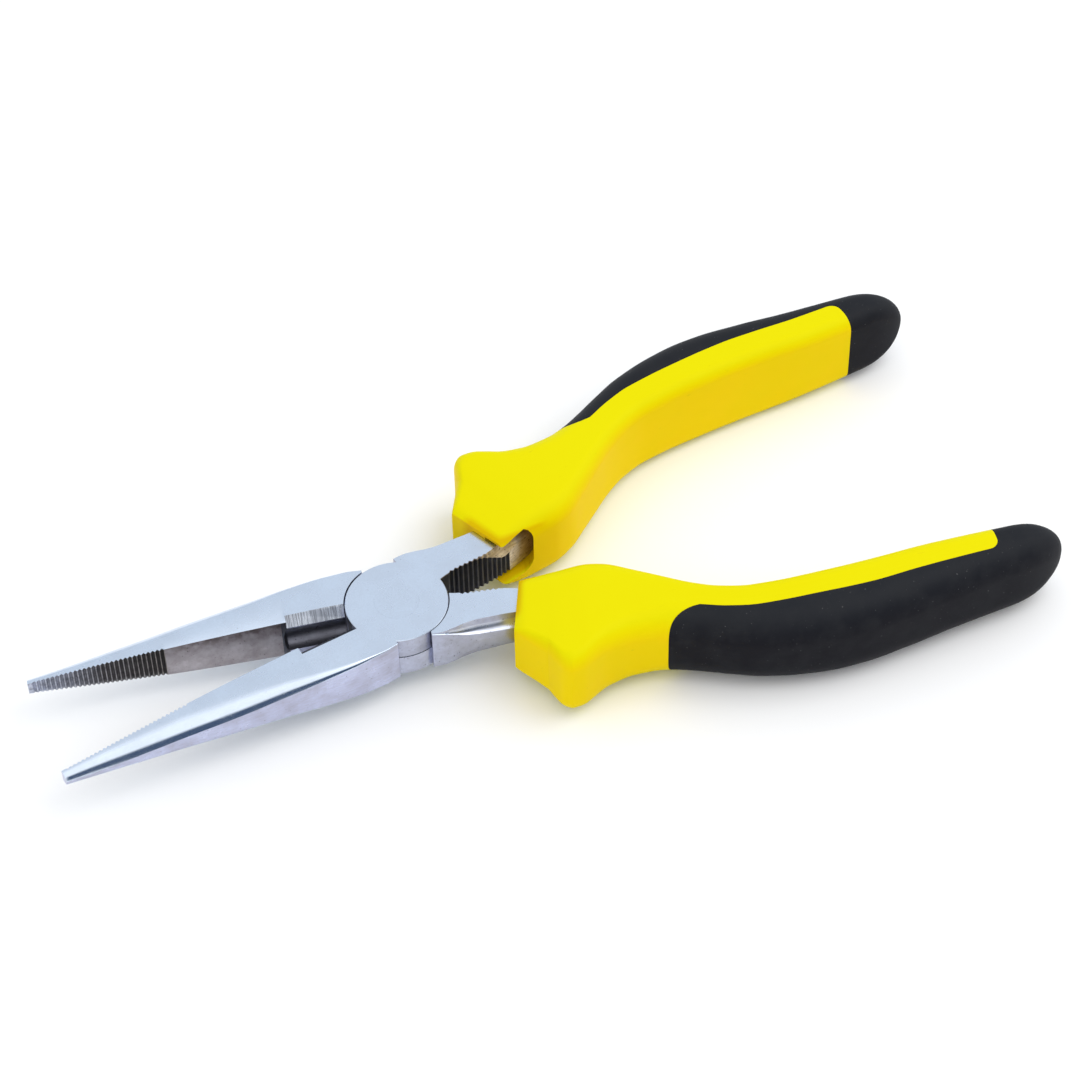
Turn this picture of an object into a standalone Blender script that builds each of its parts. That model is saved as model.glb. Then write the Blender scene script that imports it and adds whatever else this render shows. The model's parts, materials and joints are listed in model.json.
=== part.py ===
"""Needle nose pliers, 200 mm long, with two-material grips.

Two drop-forged halves turn on one flush rivet. Each half is a long jaw, a half-thick disc and a tang.
A hard yellow grip body sits on each tang, and a soft black panel wraps the palm side and the end of it.

Every half is drawn closed, in its own frame: pivot axis along Z through the origin, joint mid-plane at
z = 0, jaw towards -X on the -Y side, handle towards +X on the +Y side. The lower half is its mirror
image across the XZ plane. Lengths are in millimetres until the meshes are made.
"""

import math

import bmesh
import bpy
from mathutils import Matrix

MM = 0.001

# Joint
OPENING_DEG = 17.8          # angle between the jaws at rest
JOINT_HALF = 4.9            # half the thickness over both discs
DISC_R = 9.95
SEAM_HALF = 0.15            # half the gap between the two discs
RUN_GAP = 0.3               # disc wall to the other half's jaw and tang
DISC_SIDES = 96

# Rivet, flush with both faces
RIVET_R = 3.0
RIVET_HEAD_R = 4.3
RIVET_HEAD_H = 1.1
RIVET_GAP = 0.3

# Jaw, by distance from the pivot
TIP = 71.4
MATE_GAP = 0.1              # half the gap left between the closed jaws
TEETH_START = 45.0
TOOTH_PITCH = 0.88
TOOTH_DEPTH = 0.35
JAW_SHOULDER = 5.0
# distance: half thickness, width, width of the top round, height of the top round, height of the lower one
JAW = [
    (71.4, 1.40, 2.0, 1.7, 1.3, 1.0),
    (66.0, 1.95, 2.8, 2.4, 1.8, 1.4),
    (58.0, 2.75, 4.0, 3.2, 2.1, 2.0),
    (48.0, 3.58, 5.4, 3.6, 2.2, 2.5),
    (38.0, 4.20, 6.9, 3.4, 2.1, 2.6),
    (28.0, 4.62, 8.1, 2.6, 1.7, 2.2),
    (20.0, 4.82, 9.1, 1.5, 1.1, 1.4),
    (12.0, 4.90, 9.7, 0.6, 0.5, 0.5),
    (8.0, 4.90, 9.7, 0.2, 0.2, 0.2),
    (5.0, 4.90, 9.35, 0.1, 0.1, 0.1),
]
ROUND_STEPS = 5
RIDGE_DEG = 155.0           # where the top round's arc stops, at the ridge along the side

# Side cutter next to the joint
CUTTER_FAR = 21.5
CUTTER_BEVEL = 1.95
HOLLOW_FAR = 22.2
HOLLOW_R = 3.2
HOLLOW_Z = -0.4

# Tang: x, inner edge on top, inner edge at mid-height, half thickness, outer edge of the flat top,
# outer side, half height of the outer side
TANG = [
    (4.8, 0.3, 0.3, 4.9, 9.6, 9.8, 4.7),
    (6.5, 0.3, 0.3, 4.9, 9.7, 10.0, 4.5),
    (9.0, 0.3, 0.3, 4.9, 9.2, 9.8, 3.6),
    (11.5, 0.8, 0.8, 4.85, 8.5, 9.6, 2.6),
    (14.0, 1.1, 1.1, 4.8, 8.1, 9.5, 2.1),
    (17.0, 1.2, 1.15, 4.7, 8.0, 9.5, 1.9),
    (20.0, 1.4, 1.2, 4.55, 7.9, 9.5, 1.8),
    (23.0, 2.15, 1.35, 4.4, 7.9, 9.6, 1.7),
    (26.0, 3.1, 1.8, 4.3, 8.4, 10.1, 1.65),
    (29.0, 4.0, 2.5, 4.2, 9.0, 10.6, 1.6),
    (36.0, 6.8, 5.0, 4.0, 11.8, 13.2, 1.6),
    (45.0, 11.0, 9.8, 3.8, 15.6, 16.8, 1.6),
    (55.0, 15.6, 14.6, 3.7, 19.8, 20.8, 1.6),
    (66.0, 18.6, 17.8, 3.6, 22.4, 23.4, 1.6),
    (80.0, 19.4, 18.6, 3.5, 22.8, 23.8, 1.6),
    (94.0, 18.2, 17.4, 3.4, 21.2, 22.2, 1.5),
    (104.0, 17.2, 16.4, 3.2, 19.8, 20.6, 1.5),
]
# Height of the chamfer along the tang's upper inner edge, by x, which bounds the pipe teeth from above
TANG_CHAMFER = [(17.0, 0.35), (19.0, 0.5), (22.0, 1.7), (25.0, 3.3), (27.0, 2.6), (29.0, 2.0), (36.0, 1.8)]
SHOULDER_RISE = 0.12
LOW_CHAMFER = 0.35
PIPE_TEETH_START = 12.0
PIPE_TEETH_COUNT = 13
PIPE_TOOTH_PITCH = 1.09
PIPE_TOOTH_DEPTH = 0.4

# Grip collar: plan outline of its outer side, from the front corner along a flat facet and round the guard
FACET = [(20.0, 13.3), (25.0, 19.9)]
GUARD = [(25.0, 19.9), (25.9, 22.3), (26.9, 24.2), (28.6, 25.3), (30.6, 25.0), (33.0, 23.7), (36.0, 22.0),
         (40.0, 20.9)]
FACET_SHARE = 0.3           # share of the collar's sections that end on the facet
COLLAR_FRONT_X = 24.0       # front and back of the collar on its inner side
COLLAR_BACK_X = 40.0
# share of the way from the front edge to the waist: half height, inner rounds above and below, outer round
COLLAR = [(0.0, 5.6, 2.0, 0.5, 0.5), (0.03, 6.1, 2.6, 0.7, 0.9), (0.08, 6.6, 3.2, 0.9, 1.5),
          (0.2, 7.1, 3.8, 1.1, 2.2), (0.35, 7.6, 4.2, 1.6, 2.6), (0.5, 8.0, 4.4, 2.3, 3.0),
          (0.75, 8.5, 4.4, 3.5, 3.6), (1.0, 8.6, 4.2, 4.2, 4.2)]

# Grip: plan outlines, half thickness and rounding by x
DOME_START = 117.0
GRIP_END = 129.0
END_Y = 14.9
INNER_Y = [(18, 0.35), (24, 0.4), (30, 0.45), (36, 0.55), (40, 1.5), (45, 4.5), (50, 7.7), (55, 10.8),
           (60, 13.1), (66, 14.6), (74, 15.0), (82, 14.8), (92, 14.2), (104, 13.1), (117, 12.4), (129, 12.0)]
OUTER_Y = [(38, 21.3), (42, 20.7), (46, 20.8), (50, 21.6), (54, 23.0), (60, 25.4), (66, 27.4), (74, 28.7),
           (80, 29.0), (86, 28.6), (95, 26.9), (104, 24.9), (112, 23.2), (117, 22.2), (129, 19.8)]
HALF_Z = [(40, 8.6), (50, 8.8), (58, 8.9), (66, 9.1), (80, 9.4), (95, 9.4), (105, 9.1), (112, 9.0),
          (117, 8.9)]
INNER_ROUND = [(40, 4.2), (46, 3.8), (55, 3.4), (66, 3.0), (100, 2.8), (117, 3.2)]
OUTER_ROUND = [(40, 4.2), (50, 5.0), (66, 5.6), (90, 5.6), (117, 4.8)]

# Opening in the collar over the tang's inner side: its end, its rounding by distance before the end,
# and its upper edge by x
WINDOW_END = 30.6
WINDOW_STEPS = [(16.0, 0.0), (6.6, 0.0), (4.0, 0.0), (2.2, 0.0), (1.2, 0.4), (0.4, 1.2), (0.0, 2.2)]
WINDOW_TOP = [(14.0, 5.0), (24.0, 5.0), (28.6, 6.4), (40.0, 6.4)]
WINDOW_LOW = 4.3
WINDOW_DEPTH = 5.0
WINDOW_RAMP = 1.7           # drop of the lower edge from the tang to the lip
RAMP_LENGTH = 6.6
WINDOW_SLANT = 0.6          # how far the end slants back with depth

# Seam between hard and soft material, in plan
SEAM = [(55.0, 18.3), (60.0, 20.0), (66.0, 21.2), (74.0, 21.5), (81.0, 21.5), (88.0, 21.3), (97.0, 20.3),
        (104.0, 19.5), (112.4, 18.8)]
SEAM_FRONT = 48.0           # where the seam crosses the palm side
SEAM_BACK = 114.6           # where the seam crosses the inner side
SOFT_THICKNESS = 2.0
PART_GAP = 0.3              # grip to tang and to soft panel

# Places safely beyond the part, for the shapes that cut it
OUTSIDE = 8.0
BEYOND_X = 140.0
BEYOND_Y = 40.0
BEYOND_Z = 20.0


# ---------------------------------------------------------------- curves

def track(rows, x, column=1):
    """Value of one column of a table at x, on a smooth curve through its rows."""
    rows = sorted(rows)
    if x <= rows[0][0]:
        return rows[0][column]
    if x >= rows[-1][0]:
        return rows[-1][column]
    slopes = []
    for left, right in zip(rows, rows[1:]):
        slopes.append((right[column] - left[column]) / (right[0] - left[0]))
    tangents = [slopes[0]]
    for before, after in zip(slopes, slopes[1:]):
        tangents.append(0.0 if before * after <= 0 else 2 * before * after / (before + after))
    tangents.append(slopes[-1])
    for i, (left, right) in enumerate(zip(rows, rows[1:])):
        if x <= right[0]:
            span = right[0] - left[0]
            u = (x - left[0]) / span
            a = left[column] * (2 * u ** 3 - 3 * u ** 2 + 1)
            b = right[column] * (-2 * u ** 3 + 3 * u ** 2)
            c = tangents[i] * span * (u ** 3 - 2 * u ** 2 + u)
            d = tangents[i + 1] * span * (u ** 3 - u ** 2)
            return a + b + c + d


def arc(center_y, center_z, radius_y, radius_z, start_deg, end_deg, steps):
    """Points of an elliptical arc in the YZ plane."""
    points = []
    for i in range(steps + 1):
        angle = math.radians(start_deg + (end_deg - start_deg) * i / steps)
        points.append((center_y + radius_y * math.cos(angle), center_z + radius_z * math.sin(angle)))
    return points


def spread(start, end, step):
    """Even stations from start to end, no further apart than step."""
    count = max(1, math.ceil(abs(end - start) / step))
    return [start + (end - start) * i / count for i in range(count + 1)]


def along(points, share):
    """Point of a smooth plan curve through the points, at a share of its length."""
    lengths = [0.0]
    for (x0, y0), (x1, y1) in zip(points, points[1:]):
        lengths.append(lengths[-1] + math.hypot(x1 - x0, y1 - y0))
    rows = [(length, x, y) for length, (x, y) in zip(lengths, points)]
    return track(rows, share * lengths[-1], 1), track(rows, share * lengths[-1], 2)


# ---------------------------------------------------------------- meshes

def new_object(name, bm, material=None):
    """Object from a bmesh drawn in millimetres."""
    bmesh.ops.transform(bm, matrix=Matrix.Scale(MM, 4), verts=bm.verts)
    bmesh.ops.recalc_face_normals(bm, faces=bm.faces)
    mesh = bpy.data.meshes.new(name)
    bm.to_mesh(mesh)
    bm.free()
    obj = bpy.data.objects.new(name, mesh)
    bpy.context.scene.collection.objects.link(obj)
    if material:
        mesh.materials.append(material)
    return obj


def skin(rings):
    """Closed solid through rings of (x, y, z) points."""
    bm = bmesh.new()
    made = [[bm.verts.new(point) for point in ring] for ring in rings]
    for first, second in zip(made, made[1:]):
        for i in range(len(first)):
            j = (i + 1) % len(first)
            bm.faces.new((first[i], first[j], second[j], second[i]))
    for end in (made[0], made[-1]):
        bm.faces.new(end)
    return bm


def loft(stations, mirror):
    """Closed solid through rings of (y, z) points at stations (x, ring)."""
    return skin([[(x, y * mirror, z) for y, z in ring] for x, ring in stations])


def prism(outline, low, high, mirror):
    """Closed solid of a plan outline between two heights."""
    return skin([[(x, y * mirror, z) for x, y in outline] for z in (low, high)])


def turned(profile, sides):
    """Closed solid turned about the Z axis from (radius, z) points, the first and last on the axis."""
    angles = [2 * math.pi * i / sides for i in range(sides)]
    rings = []
    for radius, z in profile[1:-1]:
        rings.append([(radius * math.cos(a), radius * math.sin(a), z) for a in angles])
    return skin(rings)


def combine(obj, other, operation):
    """Apply one exact boolean and delete the other object."""
    modifier = obj.modifiers.new(operation.title(), "BOOLEAN")
    modifier.operation = operation
    modifier.solver = "EXACT"
    modifier.object = other
    graph = bpy.context.evaluated_depsgraph_get()
    result = bpy.data.meshes.new_from_object(obj.evaluated_get(graph))
    obj.modifiers.clear()
    old_mesh = obj.data
    result.name = old_mesh.name
    obj.data = result
    bpy.data.meshes.remove(old_mesh)
    bpy.data.objects.remove(other)


def finish(obj, sharp_deg):
    """Weld what the booleans left double and shade the round faces smooth."""
    bm = bmesh.new()
    bm.from_mesh(obj.data)
    bmesh.ops.remove_doubles(bm, verts=bm.verts, dist=0.00002)
    bmesh.ops.dissolve_degenerate(bm, dist=0.00001, edges=bm.edges)
    bm.to_mesh(obj.data)
    bm.free()
    obj.data.shade_smooth()
    obj.data.set_sharp_from_angle(angle=math.radians(sharp_deg))


def plain_material(name, color, roughness, metallic):
    material = bpy.data.materials.new(name)
    material.use_nodes = True
    shader = material.node_tree.nodes["Principled BSDF"]
    shader.inputs["Base Color"].default_value = (*color, 1.0)
    shader.inputs["Roughness"].default_value = roughness
    shader.inputs["Metallic"].default_value = metallic
    return material


# ---------------------------------------------------------------- forged halves

def jaw_ring(distance, bite):
    """Section of the jaw: flat inner face, flat top, round down to a ridge, upright side, round below."""
    half, width, round_w, round_top, round_low = (track(JAW, distance, c) for c in range(1, 6))
    inner = -MATE_GAP - bite
    ring = [(inner, -half), (inner, half)]
    ridge = math.radians(RIDGE_DEG)
    radius_y, radius_z = -round_w / math.cos(ridge), round_top / (1 - math.sin(ridge))
    ring += arc(-(width - round_w), half - radius_z, radius_y, radius_z, 90, RIDGE_DEG, ROUND_STEPS)
    ring += arc(-(width - round_w), -(half - round_low), round_w, round_low, 180, 270, ROUND_STEPS)
    return ring


def jaw(mirror):
    """Long jaw with the gripping teeth cut across its inner face."""
    stations = []
    for distance in spread(JAW_SHOULDER, TEETH_START, 4.0):
        stations.append((-distance, jaw_ring(distance, 0.0)))
    teeth = int((TIP - 0.3 - TEETH_START) / TOOTH_PITCH)
    for i in range(teeth):
        root = TEETH_START + (i + 0.35) * TOOTH_PITCH
        crest = TEETH_START + (i + 1) * TOOTH_PITCH
        stations.append((-root, jaw_ring(root, TOOTH_DEPTH)))
        stations.append((-crest, jaw_ring(crest, 0.0)))
    stations.append((-TIP, jaw_ring(TIP, 0.0)))
    return new_object("jaw", loft(stations, mirror))


def tang_ring(x, grow, bite):
    """Section of the tang: flat top and underside, scooped outer corners and a narrow outer side."""
    inner_top, inner_mid, half, flat, side, side_half = (track(TANG, x, c) for c in range(1, 7))
    chamfer = track(TANG_CHAMFER, x)
    edge_bite = bite * max(0.0, 1 - chamfer / 1.7)
    scoop_y = flat + 0.35 * (side - flat)
    scoop_z = side_half + 0.5 * (half - side_half)
    inner = inner_mid - grow
    outer = [
        (flat, half + grow),
        (scoop_y + grow, scoop_z + grow * 0.5),
        (side + grow, side_half + grow * 0.5),
    ]
    ring = [
        (inner + bite, 0.0),
        (inner + bite, half - chamfer),
        (inner + edge_bite, half - chamfer + SHOULDER_RISE),
        (inner_top - grow * 0.7 + edge_bite, half + grow),
    ]
    ring += outer + [(y, -z) for y, z in reversed(outer)]
    return ring + [(inner + LOW_CHAMFER + bite, -half - grow), (inner + bite, LOW_CHAMFER - half)]


def tang(mirror, grow=0.0):
    """Tang from the joint's shoulder to its end inside the grip."""
    start, end = TANG[0][0], TANG[-1][0] + grow
    stations = [(x, tang_ring(x, grow, 0.0)) for x in spread(start, PIPE_TEETH_START, 1.5)]
    teeth = 0 if grow else PIPE_TEETH_COUNT
    for i in range(teeth):
        root = PIPE_TEETH_START + (i + 0.4) * PIPE_TOOTH_PITCH
        crest = PIPE_TEETH_START + (i + 1) * PIPE_TOOTH_PITCH
        stations.append((root, tang_ring(root, grow, PIPE_TOOTH_DEPTH)))
        stations.append((crest, tang_ring(crest, grow, 0.0)))
    for x in spread(stations[-1][0] + 1.0, end, 5.0):
        stations.append((x, tang_ring(x, grow, 0.0)))
    return new_object("tang", loft(stations, mirror))


def half_disc(lap):
    """The half-thick disc: the upper half's lies on top."""
    profile = [(0, SEAM_HALF), (DISC_R, SEAM_HALF), (DISC_R, JOINT_HALF), (0, JOINT_HALF)]
    return new_object("disc", turned([(r, z * lap) for r, z in profile], DISC_SIDES))


def disc_clearance(lap):
    """Room for the other half's disc."""
    radius = DISC_R + RUN_GAP
    profile = [(0, -SEAM_HALF), (radius, -SEAM_HALF), (radius, JOINT_HALF + 1), (0, JOINT_HALF + 1)]
    return new_object("clearance", turned([(r, -z * lap) for r, z in profile], DISC_SIDES))


def rivet_profile(gap):
    """Shank with a countersunk head at each end, flush with the joint's faces."""
    shank, head = RIVET_R + gap, RIVET_HEAD_R + gap
    top = JOINT_HALF + (1.0 if gap else 0.0)
    neck = JOINT_HALF - RIVET_HEAD_H
    upper = [(head, JOINT_HALF), (head, top)] if gap else [(head, JOINT_HALF)]
    profile = [(0, -top)] + [(r, -z) for r, z in reversed(upper)]
    profile += [(shank, -neck), (shank, neck)] + upper + [(0, top)]
    return profile


def cutter_bevel(mirror):
    """Bevel from the top face down to the cutting edge."""
    back = -CUTTER_BEVEL - 0.1
    outline = [(back, JOINT_HALF + 0.15), (3.0, JOINT_HALF - CUTTER_BEVEL - 3.0 - 0.1),
               (3.0, JOINT_HALF + 4.0), (back, JOINT_HALF + 4.0)]
    stations = [(-CUTTER_FAR, outline), (-DISC_R + 2.0, outline)]
    return new_object("bevel", loft(stations, mirror))


def cutter_hollow(mirror):
    """Round hollow behind the cutting edge, with a domed far end."""
    stations = []
    for angle in (5, 25, 45, 65, 90):
        radius = HOLLOW_R * math.sin(math.radians(angle))
        x = -HOLLOW_FAR + 1.0 - math.cos(math.radians(angle))
        stations.append((x, arc(0.0, HOLLOW_Z, radius, radius, 0, 345, 23)))
    stations.append((-DISC_R + 2.0, arc(0.0, HOLLOW_Z, HOLLOW_R, HOLLOW_R, 0, 345, 23)))
    return new_object("hollow", loft(stations, mirror))


def forged_half(name, mirror, lap, material):
    half = jaw(mirror)
    half.name = name
    half.data.name = name
    combine(half, cutter_bevel(mirror), "DIFFERENCE")
    combine(half, cutter_hollow(mirror), "DIFFERENCE")
    combine(half, tang(mirror), "UNION")
    combine(half, disc_clearance(lap), "DIFFERENCE")
    combine(half, half_disc(lap), "UNION")
    combine(half, new_object("rivet_hole", turned(rivet_profile(RIVET_GAP), 48)), "DIFFERENCE")
    half.data.materials.clear()
    half.data.materials.append(material)
    finish(half, 30)
    return half


# ---------------------------------------------------------------- grips

def section(inner, outer, half, inner_round, low_round, outer_round, inset):
    """Rounded upright section between two plan points, pulled in by the inset."""
    length = math.hypot(outer[0] - inner[0], outer[1] - inner[1])
    start, end, half = inset, length - inset, half - inset
    inner_w = min(inner_round, (end - start) * 0.45)
    low_w = min(low_round, (end - start) * 0.45)
    outer_w = min(outer_round, (end - start) * 0.5)
    inner_z = min(inner_round, half * 0.9)
    low_z = min(low_round, half * 0.9)
    outer_z = min(outer_round * 1.15, half * 0.9)
    profile = arc(end - outer_w, half - outer_z, outer_w, outer_z, 0, 90, 5)
    profile += arc(start + inner_w, half - inner_z, inner_w, inner_z, 90, 180, 4)
    profile += arc(start + low_w, -half + low_z, low_w, low_z, 180, 270, 4)
    profile += arc(end - outer_w, -half + outer_z, outer_w, outer_z, 270, 360, 5)
    ring = []
    for w, z in profile:
        share = w / length
        ring.append((inner[0] + (outer[0] - inner[0]) * share, inner[1] + (outer[1] - inner[1]) * share, z))
    return ring


def collar_ring(share, inset):
    """Section of the collar: its planes fan from the slanted front edge to the waist."""
    x = COLLAR_FRONT_X + (COLLAR_BACK_X - COLLAR_FRONT_X) * share
    inner = (x, track(INNER_Y, x))
    if share < FACET_SHARE:
        outer = along(FACET, share / FACET_SHARE)
    else:
        outer = along(GUARD, (share - FACET_SHARE) / (1 - FACET_SHARE))
    half, inner_round, low_round, outer_round = (track(COLLAR, share, c) for c in (1, 2, 3, 4))
    return section(inner, outer, half, inner_round, low_round, outer_round, inset)


def handle_ring(x, inset):
    """Section of the handle at x, shrinking over the domed end."""
    inner, outer = track(INNER_Y, x), track(OUTER_Y, x)
    half = track(HALF_Z, x)
    if x > DOME_START:
        u = (x - DOME_START) / (GRIP_END - DOME_START)
        shrink = (1 - u ** 2.8) ** 0.5
        inner = END_Y + (inner - END_Y) * shrink
        outer = END_Y + (outer - END_Y) * shrink
        half *= (1 - u ** 2.6) ** 0.5
    inner_round = track(INNER_ROUND, x)
    return section((x, inner), (x, outer), half, inner_round, inner_round, track(OUTER_ROUND, x), inset)


def grip_body(mirror, inset=0.0):
    """Whole outer shape of one grip."""
    shares = [0.0, 0.03, 0.08, 0.15, 0.22] + spread(FACET_SHARE, 0.72, 0.06) + [0.8, 0.9]
    rings = [collar_ring(share, inset) for share in shares]
    xs = spread(COLLAR_BACK_X, 60.0, 3.0) + spread(66.0, DOME_START, 5.5)
    reach = GRIP_END - DOME_START
    last_angles = (58, 70, 80, 86) if not inset else (52,)
    xs += [DOME_START + reach * math.sin(math.radians(a)) for a in (15, 30, 42) + last_angles]
    rings += [handle_ring(x, inset) for x in xs]
    return new_object("grip", skin([[(x, y * mirror, z) for x, y, z in ring] for ring in rings]))


def seam_outline(gap):
    """Plan region of the soft panel, grown by the gap: nose, seam along the top, rounded corner, end cap."""
    nose_x, nose_y = SEAM[0]
    start_y = track(OUTER_Y, SEAM_FRONT) + 1.0
    points = [(SEAM_FRONT - gap, BEYOND_Y)]
    for angle in range(0, 90, 15):
        cos, sin = math.cos(math.radians(angle)), math.sin(math.radians(angle))
        x = nose_x - (nose_x - SEAM_FRONT) * cos
        y = start_y - (start_y - nose_y) * sin
        points.append((x - gap * cos, y - gap * sin))
    points += [(x, y - gap) for x, y in SEAM]
    end_x, end_y = SEAM[-1]
    corner = SEAM_BACK - end_x
    for angle in (60, 30, 0):
        cos, sin = math.cos(math.radians(angle)), math.sin(math.radians(angle))
        points.append((end_x + (corner - gap) * cos, end_y - corner + (corner - gap) * sin))
    return points + [(SEAM_BACK - gap, 0.0), (BEYOND_X, 0.0), (BEYOND_X, BEYOND_Y)]


def collar_window(mirror):
    """Opening over the tang's inner side: it slants back at its end and ramps down at its lip."""
    rings = []
    for before_end, shrink in WINDOW_STEPS:
        x = WINDOW_END - before_end
        top, low = track(WINDOW_TOP, x) - shrink, shrink - WINDOW_LOW
        lip = low - WINDOW_RAMP * min(1.0, before_end / RAMP_LENGTH)
        outline = [(-OUTSIDE, lip), (0.0, lip), (WINDOW_DEPTH, low), (WINDOW_DEPTH, top), (-OUTSIDE, top)]
        rings.append([(x + WINDOW_SLANT * y, y * mirror, z) for y, z in outline])
    return new_object("window", skin(rings))


def soft_panel(name, mirror, material):
    """Black overmould: a shell on the palm side and over the end."""
    panel = grip_body(mirror)
    panel.name = name
    panel.data.name = name
    combine(panel, new_object("region", prism(seam_outline(0.0), -BEYOND_Z, BEYOND_Z, mirror)), "INTERSECT")
    combine(panel, grip_body(mirror, SOFT_THICKNESS), "DIFFERENCE")
    panel.data.materials.clear()
    panel.data.materials.append(material)
    finish(panel, 40)
    return panel


def hard_grip(name, mirror, material):
    """Yellow grip body with its core under the soft panel and a pocket for the tang."""
    grip = grip_body(mirror)
    grip.name = name
    grip.data.name = name
    panel_region = prism(seam_outline(PART_GAP), -BEYOND_Z, BEYOND_Z, mirror)
    combine(grip, new_object("region", panel_region), "DIFFERENCE")
    core = grip_body(mirror, SOFT_THICKNESS + PART_GAP)
    back = COLLAR_BACK_X
    keep = [(back, -OUTSIDE), (BEYOND_X, -OUTSIDE), (BEYOND_X, BEYOND_Y), (back, BEYOND_Y)]
    combine(core, new_object("keep", prism(keep, -BEYOND_Z, BEYOND_Z, mirror)), "INTERSECT")
    combine(grip, core, "UNION")
    combine(grip, tang(mirror, PART_GAP), "DIFFERENCE")
    combine(grip, collar_window(mirror), "DIFFERENCE")
    grip.data.materials.clear()
    grip.data.materials.append(material)
    finish(grip, 40)
    return grip


# ---------------------------------------------------------------- assembly

def build():
    for obj in list(bpy.data.objects):
        bpy.data.objects.remove(obj)

    upper_steel = plain_material("steel_upper", (0.56, 0.60, 0.66), 0.34, 1.0)
    lower_steel = plain_material("steel_lower", (0.54, 0.58, 0.64), 0.36, 1.0)
    rivet_steel = plain_material("steel_rivet", (0.58, 0.62, 0.68), 0.30, 1.0)
    upper_yellow = plain_material("yellow_upper", (0.89, 0.78, 0.0), 0.55, 0.0)
    lower_yellow = plain_material("yellow_lower", (0.88, 0.77, 0.0), 0.55, 0.0)
    upper_black = plain_material("black_upper", (0.018, 0.019, 0.022), 0.7, 0.0)
    lower_black = plain_material("black_lower", (0.018, 0.019, 0.022), 0.7, 0.0)

    halves = [
        ("upper", 1, 1, upper_steel, upper_yellow, upper_black),
        ("lower", -1, -1, lower_steel, lower_yellow, lower_black),
    ]
    for label, mirror, lap, steel, yellow, black in halves:
        pivot = bpy.data.objects.new("pivot_" + label, None)
        bpy.context.scene.collection.objects.link(pivot)
        pivot.location = (0, 0, JOINT_HALF * MM)
        pivot.rotation_euler = (0, 0, math.radians(OPENING_DEG / 2) * mirror)
        pieces = [
            forged_half("jaw_half_" + label, mirror, lap, steel),
            hard_grip("grip_" + label, mirror, yellow),
            soft_panel("grip_%s_soft_panel" % label, mirror, black),
        ]
        if label == "upper":
            rivet = new_object("pivot_rivet", turned(rivet_profile(0.0), 48), rivet_steel)
            finish(rivet, 30)
            pieces.append(rivet)
        for piece in pieces:
            piece.parent = pivot


build()
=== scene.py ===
"""Looks of the needle nose pliers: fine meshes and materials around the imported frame.

Each half is drawn closed in its own frame, in millimetres: pivot axis along Z through the origin, joint
mid-plane at z = 0, jaw towards -X on the -Y side, handle towards +X on the +Y side. The lower half is its
mirror image across the XZ plane. place() then opens the half by its share of the rest angle.
"""

import json
import math

import bmesh
import bpy
from mathutils import Matrix, Vector


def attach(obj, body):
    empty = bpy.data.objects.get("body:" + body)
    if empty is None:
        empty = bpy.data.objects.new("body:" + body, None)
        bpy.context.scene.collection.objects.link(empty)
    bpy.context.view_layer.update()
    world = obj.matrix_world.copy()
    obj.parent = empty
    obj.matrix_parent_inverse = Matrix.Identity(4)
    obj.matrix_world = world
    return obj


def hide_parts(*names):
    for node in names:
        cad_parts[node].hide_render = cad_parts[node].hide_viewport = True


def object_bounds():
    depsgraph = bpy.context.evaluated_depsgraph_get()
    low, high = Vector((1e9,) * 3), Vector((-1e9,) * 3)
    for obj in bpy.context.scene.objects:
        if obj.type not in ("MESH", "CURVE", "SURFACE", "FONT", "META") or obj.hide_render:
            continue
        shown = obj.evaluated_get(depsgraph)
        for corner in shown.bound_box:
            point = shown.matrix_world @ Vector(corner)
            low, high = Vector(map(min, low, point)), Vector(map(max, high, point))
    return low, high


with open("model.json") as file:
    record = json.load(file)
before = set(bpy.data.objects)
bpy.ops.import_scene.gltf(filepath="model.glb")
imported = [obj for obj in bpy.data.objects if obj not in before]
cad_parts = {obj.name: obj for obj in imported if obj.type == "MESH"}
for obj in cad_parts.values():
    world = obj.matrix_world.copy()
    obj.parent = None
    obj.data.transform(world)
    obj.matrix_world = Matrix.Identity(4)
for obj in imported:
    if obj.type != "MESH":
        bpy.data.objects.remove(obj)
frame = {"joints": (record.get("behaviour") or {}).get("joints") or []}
cad_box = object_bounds()

MM = 0.001
joint = frame["joints"][0]
PIVOT = Vector(joint["pos_m"])
HALF_OPENING = math.radians(-joint["range_deg"][0] / 2)

# ---------------------------------------------------------------- sizes, in millimetres

# Joint and rivet
JOINT_HALF = PIVOT.z / MM
DISC_R = 9.95
SEAM_HALF = 0.12            # half the gap between the two discs
RUN_GAP = 0.22              # disc wall to the other half's jaw and tang
DISC_EDGE = 0.12            # chamfer round the disc's outer face
DISC_SIDES = 240
RIVET_R = 3.0
RIVET_HEAD_R = 4.3
RIVET_HEAD_H = 1.1
RIVET_GAP = 0.012
RIVET_SIDES = 96
EDGE_BREAK = 0.1
WELD = 0.004                # points closer than this are one point

# Jaw, by distance from the pivot
TIP = 71.4
MATE_GAP = 0.1              # half the gap left between the closed jaws
TEETH_START = 45.0
TIP_PLAIN = 0.3             # least length without teeth at the tip
TOOTH_PITCH = 0.88
TOOTH_DEPTH = 0.34
JAW_SHOULDER = 5.0
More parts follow.
